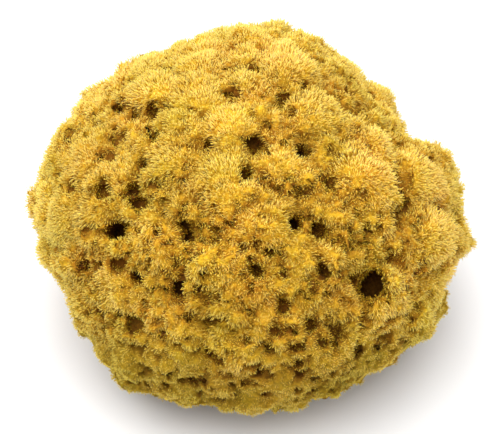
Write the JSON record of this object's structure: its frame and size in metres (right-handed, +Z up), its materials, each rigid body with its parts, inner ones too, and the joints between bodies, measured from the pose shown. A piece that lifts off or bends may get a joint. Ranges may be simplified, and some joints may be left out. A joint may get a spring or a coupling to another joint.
{
  "type": "natural sea sponge",
  "caption": "Rounded natural bath sponge with tufted surface and open pores, cut flat underneath where it was harvested, so that it rests on a shelf or tray.",
  "frame": {"origin": "middle of the flat cut base, under the middle of the bounding box", "axes": "+Z up from the cut base, -Y towards the show side that the picture sees from above, +X to its right"},
  "size_m": [0.1532, 0.147, 0.1083],
  "materials": {
    "sponge_fibre": "matt golden yellow sponge fibre, paler at the tips and brown in the pores"
  },
  "bodies": {
    "root": {"sponge": "sponge_fibre"}
  },
  "joints": []
}
